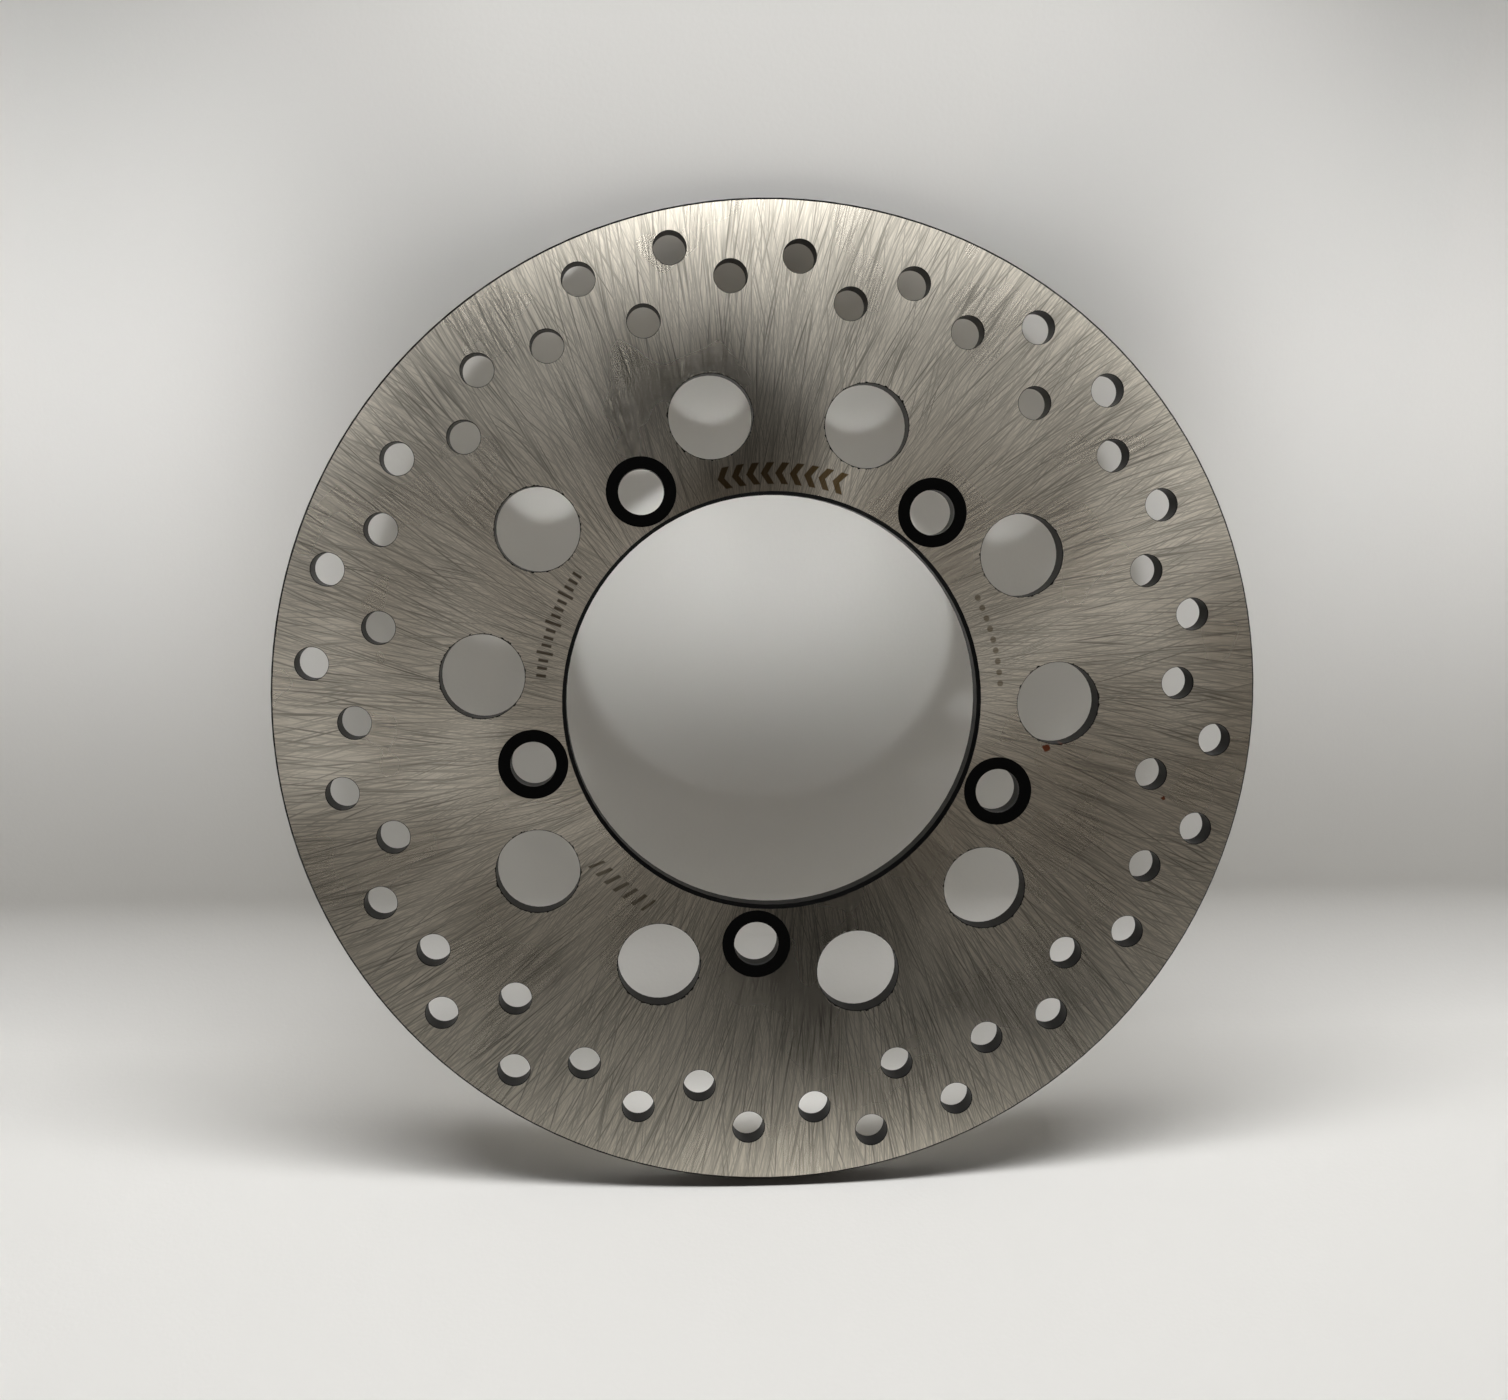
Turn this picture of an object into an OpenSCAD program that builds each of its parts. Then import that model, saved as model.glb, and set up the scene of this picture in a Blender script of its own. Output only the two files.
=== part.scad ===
/* [Disc] */
// Outer diameter of the brake disc
disc_d = 240; // [236:1:260]
// Thickness of a new disc, ground flat on both faces
disc_t = 6; // [4:0.5:7]
// Width of the chamfer round both edges of the rim
rim_chamfer = 0.5; // [0.1:0.1:1]
// Width of the edge break on every drilled and cut hole
edge_break = 0.15; // [0.05:0.05:0.3]

/* [Hub bore] */
// Diameter of the bore that slips over the hub's spigot
bore_d = 100.5; // [90:0.1:100.8]
// Width of the lead-in chamfer at both ends of the bore
bore_chamfer = 0.9; // [0.2:0.1:1]

/* [Bolt circle] */
// Diameter of the circle through the bolt holes
bolt_pcd = 120; // [120:0.5:121]
// Diameter of each bolt hole
bolt_hole_d = 11; // [8:0.5:12]
// Angle of the lowest bolt hole, counter-clockwise from the 3 o'clock side
bolt_turn = -93.8; // [-180:0.1:180]

/* [Bolt seats] */
// Outer diameter of the thin black ring round each bolt hole
seat_ring_d = 16.8; // [14:0.1:16.8]
// Thickness of the ring, which lies flush with the front face
seat_ring_t = 0.6; // [0.3:0.1:1]
// Gap between the ring's edge and the spot face that it lies in
seat_gap = 0.05; // [0.02:0.01:0.1]

/* [Lightening holes] */
// Diameter of the holes cut between the bolts, a pair to each gap
window_d = 20.3; // [14:0.1:21]
// Diameter of the circle through their centres
window_pcd = 140.8; // [140:0.2:143]
// Angle of each hole of a pair, to either side of the pair's middle
window_spread = 15.5; // [13:0.5:17]
// Turn of the pairs off the exact middle of the gaps between bolts
window_turn = 0.9; // [-2:0.1:2]

/* [Drilled holes] */
// Diameter of the small holes in the friction band
vent_d = 7.9; // [5:0.1:8]
// Times that the staggered group of holes repeats round the band
vent_groups = 6; // [3:1:6]
// Turn of the whole drilled pattern
vent_turn = 0; // [-60:1:60]

/* [Hidden] */
// Number of mounting bolts, each with its own seat ring.
bolt_count = 5;
// One group of drilled holes: distance from the disc's centre, and angle into the group.
vent_group = [
    [100.5, 2.5], [105.8, 11.7], [97.2, 19.3], [106.6, 26.9],
    [102.2, 36.0], [110.8, 43.1], [96.1, 49.0], [110.6, 54.9]
];
cut_over = 1;
wall_fn = 96;
rim_fn = 360;
bolt_step = 360 / bolt_count;
pair_turn = bolt_turn + bolt_step / 2 + window_turn;

// Turns a shape drawn lying flat, front face up, so that the disc stands on its
// rim: front face towards -Y, spin axis along +Y, origin at the bore's middle.
module standing() {
    rotate([90, 0, 0]) children();
}

// Puts a shape at bolt hole i.
module at_bolt(i) {
    rotate([0, 0, bolt_turn + i * bolt_step])
        translate([bolt_pcd / 2, 0, 0])
            children();
}

// Repeats a shape at every bolt hole.
module each_bolt() {
    for (i = [0 : bolt_count - 1]) at_bolt(i) children();
}

// A hole right through the disc, with both of its edges broken.
module through_hole(d) {
    r = d / 2;
    half = disc_t / 2;
    rotate_extrude($fn = wall_fn)
        polygon([
            [0, -half - cut_over],
            [r + edge_break + cut_over, -half - cut_over],
            [r, -half + edge_break],
            [r, half - edge_break],
            [r + edge_break + cut_over, half + cut_over],
            [0, half + cut_over]
        ]);
}

// The turned and ground blank: a flat ring with chamfered rim and bore.
module blank() {
    half = disc_t / 2;
    rim = disc_d / 2;
    bore = bore_d / 2;
    rotate_extrude($fn = rim_fn)
        polygon([
            [bore + bore_chamfer, -half],
            [rim - rim_chamfer, -half],
            [rim, -half + rim_chamfer],
            [rim, half - rim_chamfer],
            [rim - rim_chamfer, half],
            [bore + bore_chamfer, half],
            [bore, half - bore_chamfer],
            [bore, -half + bore_chamfer]
        ]);
}

// The shallow round pocket in the front face that a seat ring lies in.
module spot_face() {
    translate([0, 0, disc_t / 2 - seat_ring_t])
        cylinder(h = seat_ring_t + cut_over, d = seat_ring_d + 2 * seat_gap, $fn = wall_fn);
}

// The pairs of large holes between the bolts.
module windows() {
    for (i = [0 : bolt_count - 1], side = [-1, 1])
        rotate([0, 0, pair_turn + i * bolt_step + side * window_spread])
            translate([window_pcd / 2, 0, 0])
                through_hole(window_d);
}

// The staggered small holes of the friction band.
module vents() {
    for (i = [0 : vent_groups - 1], hole = vent_group)
        rotate([0, 0, vent_turn + i * 360 / vent_groups + hole[1]])
            translate([hole[0], 0, 0])
                through_hole(vent_d);
}

// The one-piece disc.
module brake_disc() {
    color("#8d8a84")
        standing()
            difference() {
                blank();
                each_bolt() through_hole(bolt_hole_d);
                each_bolt() spot_face();
                windows();
                vents();
            }
}

// The thin black ring in the seat of bolt hole i.
module seat_ring(i) {
    color("#0b0b0c")
        standing()
            at_bolt(i)
                translate([0, 0, disc_t / 2 - seat_ring_t])
                    difference() {
                        cylinder(h = seat_ring_t, d = seat_ring_d, $fn = wall_fn);
                        translate([0, 0, -cut_over])
                            cylinder(h = seat_ring_t + 2 * cut_over, d = bolt_hole_d, $fn = wall_fn);
                    }
}

brake_disc();
for (i = [0 : bolt_count - 1])
    seat_ring(i);
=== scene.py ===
import math
import bpy
from mathutils import Matrix, Vector


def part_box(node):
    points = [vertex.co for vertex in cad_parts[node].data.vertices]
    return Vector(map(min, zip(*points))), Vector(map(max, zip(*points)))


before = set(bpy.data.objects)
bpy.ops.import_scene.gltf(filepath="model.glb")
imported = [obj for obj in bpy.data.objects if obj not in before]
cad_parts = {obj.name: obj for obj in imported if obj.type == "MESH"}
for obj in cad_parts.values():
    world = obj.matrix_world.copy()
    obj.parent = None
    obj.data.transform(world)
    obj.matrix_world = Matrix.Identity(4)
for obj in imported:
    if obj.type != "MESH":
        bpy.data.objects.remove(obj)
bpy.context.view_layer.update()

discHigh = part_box("brake_disc")[1]
discRadius = discHigh.x
halfThickness = discHigh.y
print("frame loaded: disc of", round(2 * discRadius * 1000, 1), "mm")


def linearColour(hexCode):
    # sRGB hex to the linear colour that a shader socket wants
    values = [int(hexCode[i:i + 2], 16) / 255 for i in (1, 3, 5)]
    lit = [v / 12.92 if v <= 0.04045 else ((v + 0.055) / 1.055) ** 2.4 for v in values]
    return (*lit, 1.0)


def addNode(tree, kind, inputs=None, **settings):
    # adds one node and sets it up; an input that is a socket becomes a link,
    # and so does one that is a node, from its first output
    node = tree.nodes.new(kind)
    for name, value in settings.items():
        setattr(node, name, value)
    for name, value in (inputs or {}).items():
        if isinstance(value, bpy.types.Node):
            value = value.outputs[0]
        if isinstance(value, bpy.types.NodeSocket):
            tree.links.new(value, node.inputs[name])
        else:
            node.inputs[name].default_value = value
    return node


def newMaterial(name):
    material = bpy.data.materials.new(name)
    material.use_nodes = True
    tree = material.node_tree
    tree.nodes.clear()
    return material, tree


cameraLook = {
    "place": (-0.0334, -0.3761, 0.0420),
    "heading": 4.22,          # degrees to the right of straight on
    "tilt": -5.38,            # degrees, looking down
    "roll": 0.18,
    "sensor": 36,             # mm wide
    "lens": 36.99,            # mm
    "shift": (0.0029, -0.0166),
    "clip": (0.01, 20),
}


def makeCamera(look):
    data = bpy.data.cameras.new("camera")
    data.sensor_fit = "HORIZONTAL"
    data.sensor_width = look["sensor"]
    data.lens = look["lens"]
    data.shift_x, data.shift_y = look["shift"]
    data.clip_start, data.clip_end = look["clip"]
    camera = bpy.data.objects.new("camera", data)
    turn = (Matrix.Rotation(-math.radians(look["heading"]), 4, "Z")
            @ Matrix.Rotation(math.radians(90 + look["tilt"]), 4, "X")
            @ Matrix.Rotation(math.radians(look["roll"]), 4, "Z"))
    camera.matrix_world = Matrix.Translation(look["place"]) @ turn
    bpy.context.scene.collection.objects.link(camera)
    bpy.context.scene.camera = camera


makeCamera(cameraLook)
print("camera placed")


# the studio stands where the disc touches the floor, and everything in it is placed from there
studioLook = {
    "lean": 20,               # degrees that the disc leans back on the wall
    "gap": 0.0001,            # clear air under the rim
    "bend": 0.030,            # radius of the paper where floor turns into wall
    "bendSteps": 16,
    "halfWidth": 1.6,
    "front": 0.6,
    "height": 1.5,
    "paper": "#ecebe8",
    "toothScale": 900,        # grains in a metre, coarser than real paper's so that they show
    "toothStrength": 0.15,
    "toothDepth": 0.0002,
}


def makeStudio(look):
    studio = bpy.data.objects.new("studio", None)
    studio.location = (0, halfThickness, -discRadius - look["gap"])
    studio.rotation_euler = (math.radians(look["lean"]), 0, 0)
    bpy.context.scene.collection.objects.link(studio)
    return studio


def makePaper(look):
    # matte card: rolled and uncoated, so it scatters light evenly and has only a faint tooth
    material, tree = newMaterial("matteCard")
    place = addNode(tree, "ShaderNodeTexCoord").outputs["Object"]
    tooth = addNode(tree, "ShaderNodeTexNoise",
                    {"Vector": place, "Scale": look["toothScale"], "Detail": 2.0})
    bump = addNode(tree, "ShaderNodeBump",
                   {"Height": tooth, "Strength": look["toothStrength"], "Distance": look["toothDepth"]})
    card = addNode(tree, "ShaderNodeBsdfDiffuse", {"Color": linearColour(look["paper"]), "Normal": bump})
    clear = addNode(tree, "ShaderNodeBsdfTransparent")
    behind = addNode(tree, "ShaderNodeNewGeometry").outputs["Backfacing"]
    oneSided = addNode(tree, "ShaderNodeMixShader", {0: behind, 1: card, 2: clear})    # clear from behind
    addNode(tree, "ShaderNodeOutputMaterial", {"Surface": oneSided})
    return material


def makeSheet(look, studio):
    # one sheet: floor, bend and wall; the top of the disc rests on the wall
    wall = 2 * discRadius * math.sin(math.radians(look["lean"])) + look["gap"]
    bend = look["bend"]
    profile = [(-look["front"], 0)]
    for i in range(look["bendSteps"] + 1):
        turn = math.pi / 2 * i / look["bendSteps"]
        profile.append((wall - bend + bend * math.sin(turn), bend - bend * math.cos(turn)))
    profile.append((wall, look["height"]))
    wide = look["halfWidth"]
    points = [(x, y, z) for y, z in profile for x in (-wide, wide)]
    faces = [(2 * i, 2 * i + 1, 2 * i + 3, 2 * i + 2) for i in range(len(profile) - 1)]
    mesh = bpy.data.meshes.new("paperSweep")
    mesh.from_pydata(points, [], faces)
    mesh.shade_smooth()
    mesh.materials.append(makePaper(look))
    sheet = bpy.data.objects.new("paperSweep", mesh)
    sheet.parent = studio
    sheet.visible_shadow = False      # so the lamp behind the wall reaches the back of the disc
    bpy.context.scene.collection.objects.link(sheet)
    return sheet


studio = makeStudio(studioLook)
sheet = makeSheet(studioLook, studio)
print("stage made")


# the metal's lamps leave the paper alone and the paper's lamps leave the metal alone
lampLooks = {
    "frontStrip": {"place": (-0.01, -0.23, 0.465), "aim": (0, 0.04, 0.12), "size": (0.60, 0.09),
                   "glow": 3.0, "on": "notPaper"},
    "leftGlow": {"place": (-0.17, -0.22, 0.41), "aim": (0, 0.04, 0.12), "size": (0.09, 0.09),
                 "glow": 7.0, "on": "notPaper"},
    "rightGlow": {"place": (0.19, -0.21, 0.42), "aim": (0, 0.04, 0.12), "size": (0.09, 0.09),
                  "glow": 2.8, "on": "notPaper"},
    "topStrip": {"place": (0, 0, 0.54), "aim": (0, 0, 0), "size": (0.25, 0.10),
                 "glow": 0.5, "on": "notPaper"},
    "backGlow": {"place": (0.15, 0.60, 0.30), "aim": (0, 0.05, 0.11), "size": (0.60, 0.25),
                 "glow": 1.6, "on": "notPaper"},
    "roomFill": {"place": (0.10, -0.45, 0.26), "aim": (0, 0.04, 0.12), "size": (0.80, 0.16),
                 "glow": 0.22, "tint": "#ffefdd"},
    "leftBeam": {"place": (-0.27, -0.17, 0.62), "aim": (-0.27, 0.082, 0.184), "size": (0.32, 0.08),
                 "glow": 1.2, "spread": 12, "on": "paper"},
    "rightBeam": {"place": (0.26, -0.17, 0.62), "aim": (0.26, 0.082, 0.184), "size": (0.31, 0.08),
                  "glow": 1.1, "spread": 12, "on": "paper"},
    "topBeam": {"place": (0, -0.17, 0.705), "aim": (0, 0.082, 0.265), "size": (0.22, 0.05),
                "glow": 1.3, "spread": 12, "on": "paper"},
    "boreBeam": {"place": (-0.02, -0.45, 0.135), "aim": (-0.005, 0.082, 0.135), "size": (0.12, 0.06),
                 "glow": 0.55, "spread": 13, "on": "paper"},
    "floorWash": {"place": (0, 0.07, 0.62), "aim": (0, -0.10, 0), "size": (0.80, 0.10),
                  "glow": 15.5, "on": "paper"},
}
lightGroups = {name: bpy.data.collections.new(name) for name in ("paper", "notPaper")}
for group in lightGroups.values():
    group.objects.link(sheet)
lightGroups["notPaper"].collection_objects[0].light_linking.link_state = "EXCLUDE"


def makeLamp(name, look):
    # a flat lamp; glow is how bright its face looks, so its power grows with its size
    data = bpy.data.lights.new(name, "AREA")
    data.shape = "RECTANGLE"
    data.size, data.size_y = look["size"]
    data.energy = math.pi * look["glow"] * data.size * data.size_y
    data.color = linearColour(look.get("tint", "#ffffff"))[:3]
    data.spread = math.radians(look.get("spread", 180))
    lamp = bpy.data.objects.new(name, data)
    lamp.parent = studio
    place, aim = Vector(look["place"]), Vector(look["aim"])
    lamp.location = place
    lamp.rotation_euler = (aim - place).to_track_quat("-Z", "Y").to_euler()
    lamp.visible_camera = False
    bpy.context.scene.collection.objects.link(lamp)
    if "on" in look:
        lamp.light_linking.receiver_collection = lightGroups[look["on"]]


for name, look in lampLooks.items():
    makeLamp(name, look)


worldLook = {"room": "#292827", "seen": "#d9d8d4"}


def makeWorld(look):
    # a dim room for the metal to mirror, and a pale ground for the eye
    world = bpy.data.worlds.new("room")
    world.use_nodes = True
    tree = world.node_tree
    tree.nodes.clear()
    direct = addNode(tree, "ShaderNodeLightPath").outputs["Is Camera Ray"]
    room = addNode(tree, "ShaderNodeBackground", {"Color": linearColour(look["room"])})
    seen = addNode(tree, "ShaderNodeBackground", {"Color": linearColour(look["seen"])})
    mix = addNode(tree, "ShaderNodeMixShader", {0: direct, 1: room, 2: seen})
    addNode(tree, "ShaderNodeOutputWorld", {"Surface": mix})
    bpy.context.scene.world = world


makeWorld(worldLook)
bpy.context.scene.view_settings.view_transform = "Standard"
print("lights made")


# lengths are in mm and angles in degrees, save where a note says otherwise
steelLook = {
    "steel": "#dbd4c6",
    "steelStreakShade": "#8a867c",        # painted shade of the darker scratch streaks
    "scale": "#050506",            # black heat-treatment scale, on every face that the grinder missed
    "paintedMouthLight": "#303234",            # painted light in the mouth of a bolt hole, where the front of the wall catches the light
    "rust": "#5a2f1c",
    "squareOn": 0.98,              # a face that looks this straight along Y has been ground
    "gloss": (0.25, 0.32),         # roughness of the ground faces, lowest and highest
    "scaleRoughness": 0.5,
    "specular": 0.15,
    "anisotropic": 0.9,
    "usualNoise": (0.3, 0.7),      # nearly all of a noise's values lie between these
    "cloudScale": 0.035,           # a cloud is about 30 mm across
    "swayScale": 0.022,
    "meanTilt": -7,                # of the scratches as the gloss sees them, off the radius
    "tiltSway": 16,
    "scratchSpacing": 0.38,        # at the friction band; real scratches are finer, too fine to show
    "scratchLength": 24.0,
    "scratchDepth": 0.00002,       # metres
    "bandRadius": 100.0,
    "tilts": (-13, -3, 11),        # off the radius, one for each pass of the grinder
    "passShift": 37.0,             # keeps the passes from copying each other
    "patchy": (0.40, 0.62),        # cloud values where the last pass is faintest and clearest
    "patchyLift": (0.12, 0.01),    # how far it is lifted clear of the others there
    "paintedStreaks": (0.28, 0.54),       # scratch values where the painted streaks reach full shade and full sheen
    "windowCircle": 70.4, "windowRadius": 10.15, "windowSpread": 15.5, "windowTurn": -56.9,
    "boltCircle": 60.0, "boltTurn": -93.8, "boltRadius": 6.2,
    "groupCount": 5,               # bolt holes, and pairs of windows
    "nibbleScale": 0.9,
    "nibbleDepth": 1.6,
    "burntEdge": (0.82, 1.0),      # past the cut, from burnt to clean; a mean nibble takes 0.8 of it
    "mouthEnd": -1.1,              # Y where the painted light in the mouth of a bolt hole ends
    "rustSpots": ((67.6, -11.6, 0.9), (71.4, -10.2, 0.35), (97.6, -24.4, 0.4)),    # X, Z, radius
    "rustRagged": 1.4,
    "rustEdge": (0.85, 0.6),       # past the radius, from clean to rusty; a mean nibble takes 0.7 of it
    "etchSoft": 0.12,
}

# rows of plain marks round the bore; folded strokes are chevrons, and every few strokes can be taller
etchedRows = (
    {"centre": 89.0, "radius": 55.4, "length": 31.5, "height": 5.2, "pitch": 3.5, "stroke": 1.7,
     "slant": 0.62, "folded": True, "colour": "#5e4a28", "strength": 0.92},
    {"centre": 160.0, "radius": 56.5, "length": 29.0, "height": 2.4, "pitch": 1.85, "stroke": 0.75,
     "slant": 0.0, "tallEvery": 4, "tallBy": 0.8, "colour": "#3e3324", "strength": 0.85},
    {"centre": 15.8, "radius": 56.0, "length": 23.4, "height": 1.5, "pitch": 2.75, "stroke": 1.5,
     "slant": 0.0, "round": True, "colour": "#5f5138", "strength": 0.65},
    {"centre": -129.5, "radius": 58.4, "length": 17.0, "height": 3.8, "pitch": 2.75, "stroke": 1.0,
     "slant": 0.4, "colour": "#43381f", "strength": 0.7},
)


def etchedMask(tree, angle, radius, row, soft):
    # laser-etched marks without lettering: strokes repeated along an arc, 1 inside a stroke and 0 outside
    middle = math.radians(row["centre"]) * row["radius"]
    along = addNode(tree, "ShaderNodeMath", {0: angle, 1: row["radius"], 2: -middle},
                    operation="MULTIPLY_ADD")
    across = addNode(tree, "ShaderNodeMath", {0: radius, 1: row["radius"]}, operation="SUBTRACT")
    high = addNode(tree, "ShaderNodeMath", {0: across}, operation="ABSOLUTE")
    bent = high if row.get("folded") else across
    slid = addNode(tree, "ShaderNodeMath", {0: bent, 1: row["slant"], 2: along}, operation="MULTIPLY_ADD")
    gap = addNode(tree, "ShaderNodeMath", {0: slid, 1: row["pitch"] / 2}, operation="PINGPONG")
    if row.get("round"):
        spot = addNode(tree, "ShaderNodeCombineXYZ", {"X": gap, "Y": across})
        gap = addNode(tree, "ShaderNodeVectorMath", {0: spot}, operation="LENGTH").outputs["Value"]
    edge = row["stroke"] / 2
    stroke = addNode(tree, "ShaderNodeMapRange",
                     {"Value": gap, "From Min": edge + soft, "From Max": edge - soft})
    if row.get("tallEvery"):
        every = row["tallEvery"] * row["pitch"]
        turn = addNode(tree, "ShaderNodeMath", {0: slid, 1: every / 2}, operation="PINGPONG")
        tall = addNode(tree, "ShaderNodeMath", {0: turn, 1: row["pitch"] / 2}, operation="LESS_THAN")
        high = addNode(tree, "ShaderNodeMath", {0: tall, 1: -row["tallBy"], 2: high},
                       operation="MULTIPLY_ADD")
    top = row["height"] / 2
    inside = addNode(tree, "ShaderNodeMapRange",
                     {"Value": high, "From Min": top + soft, "From Max": top - soft})
    reach = addNode(tree, "ShaderNodeMath", {0: slid}, operation="ABSOLUTE")
    within = addNode(tree, "ShaderNodeMath", {0: reach, 1: row["length"] / 2}, operation="LESS_THAN")
    both = addNode(tree, "ShaderNodeMath", {0: stroke, 1: inside}, operation="MULTIPLY")
    return addNode(tree, "ShaderNodeMath", {0: both, 1: within}, operation="MULTIPLY")


def ringDistance(tree, angle, radius, circle, turn, spread, count):
    # distance from the nearest of a ring of hole centres, which stand in pairs when they have a spread
    step = 2 * math.pi / count
    local = addNode(tree, "ShaderNodeMath", {0: angle, 1: math.radians(turn)}, operation="SUBTRACT")
    folded = addNode(tree, "ShaderNodeMath", {0: local, 1: step / 2}, operation="PINGPONG")
    offset = addNode(tree, "ShaderNodeMath", {0: folded, 1: math.radians(spread)}, operation="SUBTRACT")
    cosine = addNode(tree, "ShaderNodeMath", {0: offset}, operation="COSINE")
    sine = addNode(tree, "ShaderNodeMath", {0: offset}, operation="SINE")
    outward = addNode(tree, "ShaderNodeMath", {0: radius, 1: cosine, 2: -circle},
                      operation="MULTIPLY_ADD")
    sideways = addNode(tree, "ShaderNodeMath", {0: radius, 1: sine}, operation="MULTIPLY")
    place = addNode(tree, "ShaderNodeCombineXYZ", {"X": outward, "Y": sideways})
    return addNode(tree, "ShaderNodeVectorMath", {0: place}, operation="LENGTH").outputs["Value"]


def scratchPass(tree, outward, logRadius, along, look, tilt, shift):
    # streaks at one angle off the radius: the direction turns as the radius grows, then is read as noise
    fineness = look["bandRadius"] / look["scratchSpacing"]
    slope = math.tan(math.radians(tilt))
    sweep = addNode(tree, "ShaderNodeMath", {0: logRadius, 1: slope}, operation="MULTIPLY")
    turned = addNode(tree, "ShaderNodeVectorRotate", {"Vector": outward, "Angle": sweep},
                     rotation_type="Y_AXIS")
    place = addNode(tree, "ShaderNodeVectorMath", {0: turned, 1: (fineness, fineness, fineness), 2: along},
                    operation="MULTIPLY_ADD")
    shifted = addNode(tree, "ShaderNodeVectorMath", {0: place, 1: (0, shift, 0)}, operation="ADD")
    return addNode(tree, "ShaderNodeTexNoise", {"Vector": shifted, "Scale": 1.0, "Detail": 2.0})


def scratchPattern(tree, outward, radius, clouds, look):
    # low where the grinder scratched; the last of its three passes shows only in patches
    logRadius = addNode(tree, "ShaderNodeMath", {0: radius, 1: math.e}, operation="LOGARITHM")
    length = addNode(tree, "ShaderNodeMath", {0: radius, 1: look["scratchLength"]}, operation="DIVIDE")
    along = addNode(tree, "ShaderNodeCombineXYZ", {"Y": length})
    first, second, last = [
        scratchPass(tree, outward, logRadius, along, look, tilt, look["passShift"] * i)
        for i, tilt in enumerate(look["tilts"])]
    crossed = addNode(tree, "ShaderNodeMath", {0: first, 1: second}, operation="MINIMUM")
    faint, clearest = look["patchy"]
    high, low = look["patchyLift"]
    lift = addNode(tree, "ShaderNodeMapRange", {"Value": clouds, "From Min": faint, "From Max": clearest,
                                                "To Min": high, "To Max": low})
    patchy = addNode(tree, "ShaderNodeMath", {0: last, 1: lift}, operation="ADD")
    return addNode(tree, "ShaderNodeMath", {0: crossed, 1: patchy}, operation="MINIMUM")


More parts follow.
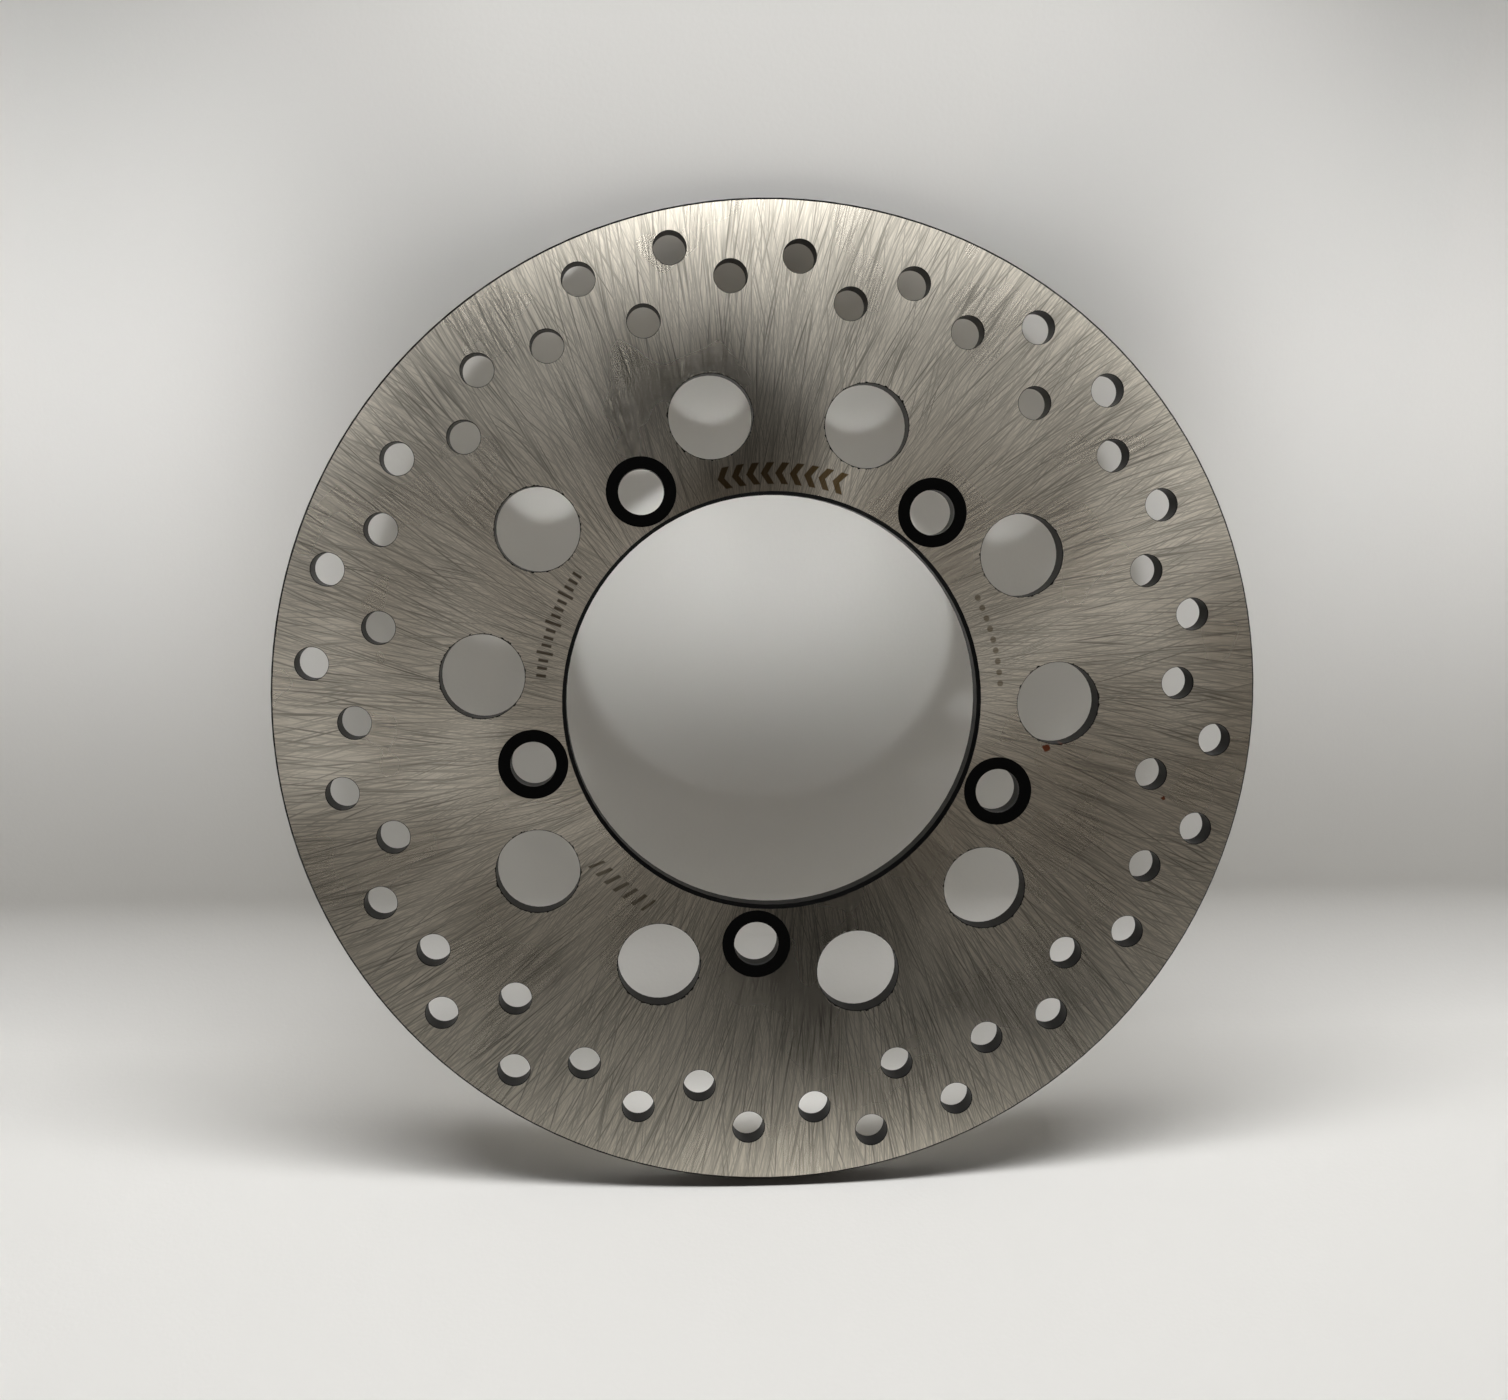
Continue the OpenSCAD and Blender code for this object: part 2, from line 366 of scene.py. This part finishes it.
def makeGroundSteel(look):
    # stainless steel, ground flat by a cup wheel: long crossing scratches that run nearly along the radius,
    # so lights smear out round the disc into bright and dark wedges
    material, tree = newMaterial("groundSteel")
    metres = addNode(tree, "ShaderNodeTexCoord").outputs["Object"]
    place = addNode(tree, "ShaderNodeVectorMath", {0: metres, 1: (1000, 1000, 1000)}, operation="MULTIPLY")
    flat = addNode(tree, "ShaderNodeVectorMath", {0: place, 1: (1, 0, 1)}, operation="MULTIPLY")
    axes = addNode(tree, "ShaderNodeSeparateXYZ", {"Vector": place}).outputs
    angle = addNode(tree, "ShaderNodeMath", {0: axes["Z"], 1: axes["X"]}, operation="ARCTAN2")
    radius = addNode(tree, "ShaderNodeVectorMath", {0: flat}, operation="LENGTH").outputs["Value"]
    outward = addNode(tree, "ShaderNodeVectorMath", {0: flat}, operation="NORMALIZE")

    # which way the surface faces tells ground faces from walls and chamfers
    normal = addNode(tree, "ShaderNodeNewGeometry").outputs["True Normal"]
    facing = addNode(tree, "ShaderNodeSeparateXYZ", {"Vector": normal}).outputs["Y"]
    level = addNode(tree, "ShaderNodeMath", {0: facing}, operation="ABSOLUTE")
    flatFace = addNode(tree, "ShaderNodeMath", {0: level, 1: look["squareOn"]}, operation="GREATER_THAN")
    front = addNode(tree, "ShaderNodeMath", {0: facing, 1: -look["squareOn"]}, operation="LESS_THAN")

    # laser-cut windows: the burnt edge is slightly ragged
    nibble = addNode(tree, "ShaderNodeTexNoise",
                     {"Vector": place, "Scale": look["nibbleScale"], "Detail": 2.0})
    window = ringDistance(tree, angle, radius, look["windowCircle"], look["windowTurn"],
                          look["windowSpread"], look["groupCount"])
    ragged = addNode(tree, "ShaderNodeMath", {0: nibble, 1: look["nibbleDepth"], 2: window},
                     operation="MULTIPLY_ADD")
    burnt, clean = [look["windowRadius"] + edge for edge in look["burntEdge"]]
    unburnt = addNode(tree, "ShaderNodeMapRange", {"Value": ragged, "From Min": burnt, "From Max": clean})
    ground = addNode(tree, "ShaderNodeMath", {0: flatFace, 1: unburnt}, operation="MULTIPLY")

    # scratched steel, with painted shade and sheen in streaks along the scratches, and the etched marks on
    # the front
    clouds = addNode(tree, "ShaderNodeTexNoise",
                     {"Vector": flat, "Scale": look["cloudScale"], "Detail": 2.0})
    scratches = scratchPattern(tree, outward, radius, clouds, look)
    dull, bright = look["paintedStreaks"]
    # painted shade and sheen: the scratch pattern darkens and lightens the steel's colour, standing in for
    # how the scratches catch the light
    paintedStreaks = addNode(tree, "ShaderNodeMapRange",
                      {"Value": scratches, "From Min": dull, "From Max": bright})
    steel = addNode(tree, "ShaderNodeMix", {0: paintedStreaks, 6: linearColour(look["steelStreakShade"]),
                                            7: linearColour(look["steel"])}, data_type="RGBA").outputs[2]
    for row in etchedRows:
        mask = etchedMask(tree, angle, radius, row, look["etchSoft"])
        marked = addNode(tree, "ShaderNodeMath", {0: mask, 1: front}, operation="MULTIPLY")
        worn = addNode(tree, "ShaderNodeMath", {0: marked, 1: row["strength"]}, operation="MULTIPLY")
        steel = addNode(tree, "ShaderNodeMix", {0: worn, 6: steel, 7: linearColour(row["colour"])},
                        data_type="RGBA").outputs[2]

    # scale on the walls, with painted light on the front part of each bolt hole's wall, where it catches
    # the light
    bolt = ringDistance(tree, angle, radius, look["boltCircle"], look["boltTurn"], 0, look["groupCount"])
    mouth = addNode(tree, "ShaderNodeMath", {0: axes["Y"], 1: look["mouthEnd"]}, operation="LESS_THAN")
    inBolt = addNode(tree, "ShaderNodeMath", {0: bolt, 1: look["boltRadius"]}, operation="LESS_THAN")
    litMouth = addNode(tree, "ShaderNodeMath", {0: mouth, 1: inBolt}, operation="MULTIPLY")
    walls = addNode(tree, "ShaderNodeMix", {0: litMouth, 6: linearColour(look["scale"]),
                                            7: linearColour(look["paintedMouthLight"])}, data_type="RGBA").outputs[2]
    colour = addNode(tree, "ShaderNodeMix", {0: ground, 6: walls, 7: steel}, data_type="RGBA").outputs[2]

    # rust spots, which no longer shine like metal
    metal = ground
    for x, z, size in look["rustSpots"]:
        away = addNode(tree, "ShaderNodeVectorMath", {0: flat, 1: (x, 0, z)}, operation="DISTANCE")
        uneven = addNode(tree, "ShaderNodeMath",
                         {0: nibble, 1: look["rustRagged"], 2: away.outputs["Value"]},
                         operation="MULTIPLY_ADD")
        spotless, rusty = [size + edge for edge in look["rustEdge"]]
        spot = addNode(tree, "ShaderNodeMapRange",
                       {"Value": uneven, "From Min": spotless, "From Max": rusty})
        colour = addNode(tree, "ShaderNodeMix", {0: spot, 6: colour, 7: linearColour(look["rust"])},
                         data_type="RGBA").outputs[2]
        bare = addNode(tree, "ShaderNodeMath", {0: 1.0, 1: spot}, operation="SUBTRACT")
        metal = addNode(tree, "ShaderNodeMath", {0: metal, 1: bare}, operation="MULTIPLY")

    # relief and gloss; the tangent lies across the scratches and sways a little from place to place
    bump = addNode(tree, "ShaderNodeBump",
                   {"Height": scratches, "Strength": 1.0, "Distance": look["scratchDepth"]})
    sway = addNode(tree, "ShaderNodeTexNoise", {"Vector": flat, "Scale": look["swayScale"], "Detail": 1.0})
    low, high = look["usualNoise"]
    across = 90 - look["meanTilt"]
    turn = addNode(tree, "ShaderNodeMapRange", {
        "Value": sway, "From Min": low, "From Max": high,
        "To Min": math.radians(across - look["tiltSway"] / 2),
        "To Max": math.radians(across + look["tiltSway"] / 2)})
    tangent = addNode(tree, "ShaderNodeVectorRotate", {"Vector": outward, "Angle": turn},
                      rotation_type="Y_AXIS")
    shiny, satin = look["gloss"]
    gloss = addNode(tree, "ShaderNodeMapRange", {"Value": clouds, "From Min": low, "From Max": high,
                                                 "To Min": shiny, "To Max": satin})
    roughness = addNode(tree, "ShaderNodeMix", {0: ground, 2: look["scaleRoughness"], 3: gloss})
    shader = addNode(tree, "ShaderNodeBsdfPrincipled", {
        "Base Color": colour, "Metallic": metal, "Roughness": roughness, "Tangent": tangent,
        "Anisotropic": look["anisotropic"], "Specular IOR Level": look["specular"], "Normal": bump})
    addNode(tree, "ShaderNodeOutputMaterial", {"Surface": shader})
    return material


seatLook = {
    "dark": "#010101",
    "light": "#050505",
    "grainScale": 2500,       # grains in a metre, coarser than real crystals so that they show
    "grainStrength": 0.3,
    "grainDepth": 0.00003,
    "roughness": 0.8,
    "specular": 0.08,
}


def makeSeatBlack(look):
    # phosphated steel, oiled: a jet-black coat with hardly any gloss
    material, tree = newMaterial("blackPhosphate")
    place = addNode(tree, "ShaderNodeTexCoord").outputs["Object"]
    grain = addNode(tree, "ShaderNodeTexNoise",
                    {"Vector": place, "Scale": look["grainScale"], "Detail": 2.0})
    colour = addNode(tree, "ShaderNodeMix", {0: grain, 6: linearColour(look["dark"]),
                                             7: linearColour(look["light"])}, data_type="RGBA").outputs[2]
    bump = addNode(tree, "ShaderNodeBump",
                   {"Height": grain, "Strength": look["grainStrength"], "Distance": look["grainDepth"]})
    shader = addNode(tree, "ShaderNodeBsdfPrincipled",
                     {"Base Color": colour, "Roughness": look["roughness"],
                      "Specular IOR Level": look["specular"], "Normal": bump})
    addNode(tree, "ShaderNodeOutputMaterial", {"Surface": shader})
    return material


groundSteel = makeGroundSteel(steelLook)
blackSeat = makeSeatBlack(seatLook)
for name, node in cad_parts.items():
    node.material_slots[0].material = groundSteel if name == "brake_disc" else blackSeat
print("materials made")
